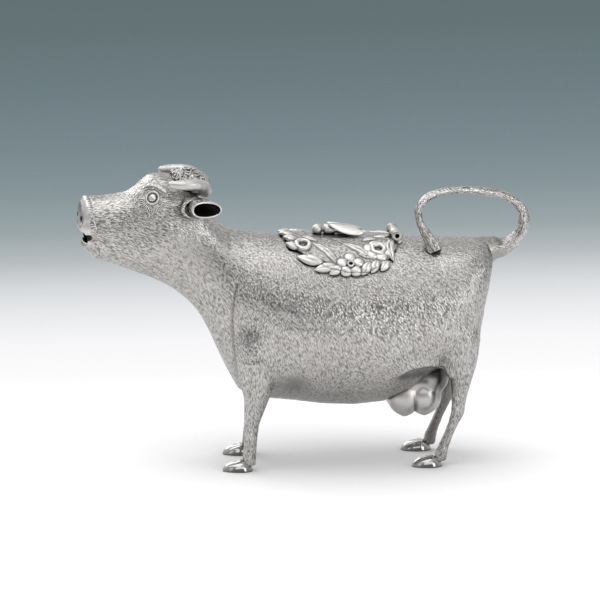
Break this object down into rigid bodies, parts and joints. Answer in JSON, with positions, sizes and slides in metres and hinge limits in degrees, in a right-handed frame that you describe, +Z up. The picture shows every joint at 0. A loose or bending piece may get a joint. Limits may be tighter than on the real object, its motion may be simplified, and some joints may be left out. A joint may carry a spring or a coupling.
{
  "type": "cow cream jug",
  "caption": "Silver cream jug shaped as a standing cow: open mouth spout, looped tail handle, hinged lid in the back with a flower border and a fly.",
  "frame": {"origin": "on the table, below the middle of the jug's length and width", "axes": "-X towards the cow's head, +X towards its tail, -Y its left side, +Z up"},
  "size_m": [0.1503, 0.0442, 0.0987],
  "materials": {
    "chased_silver": "chased",
    "polished_silver": "polished"
  },
  "bodies": {
    "jug": {"body_left": "chased_silver", "body_right": "chased_silver", "muzzle": "polished_silver", "foreleg_left": "chased_silver", "foreleg_right": "chased_silver", "hind_leg_left": "chased_silver", "hind_leg_right": "chased_silver", "fore_hoof_left": "polished_silver", "fore_hoof_right": "polished_silver", "hind_hoof_left": "polished_silver", "hind_hoof_right": "polished_silver", "udder": "polished_silver", "horn_left": "polished_silver", "horn_right": "polished_silver", "ear_left": "chased_silver", "ear_right": "chased_silver", "eye_left": "polished_silver", "eye_right": "polished_silver", "poll_garland": "chased_silver", "tail_handle": "chased_silver", "hinge_knuckle_left": "polished_silver", "hinge_knuckle_right": "polished_silver", "hinge_pin": "polished_silver"},
    "lid": {"lid_plate": "chased_silver", "lid_garland": "polished_silver", "lid_bezel": "polished_silver", "hinge_knuckle_lid": "polished_silver", "fly_body": "polished_silver", "fly_wing_left": "polished_silver", "fly_wing_right": "polished_silver", "fly_rivet": "polished_silver"}
  },
  "joints": [
    {"name": "lid_hinge", "type": "hinge", "parent": "jug", "child": "lid", "pos_m": [0.0302, 0, 0.0762], "axis": [0, 1, 0], "range_deg": [0, 85]}
  ]
}
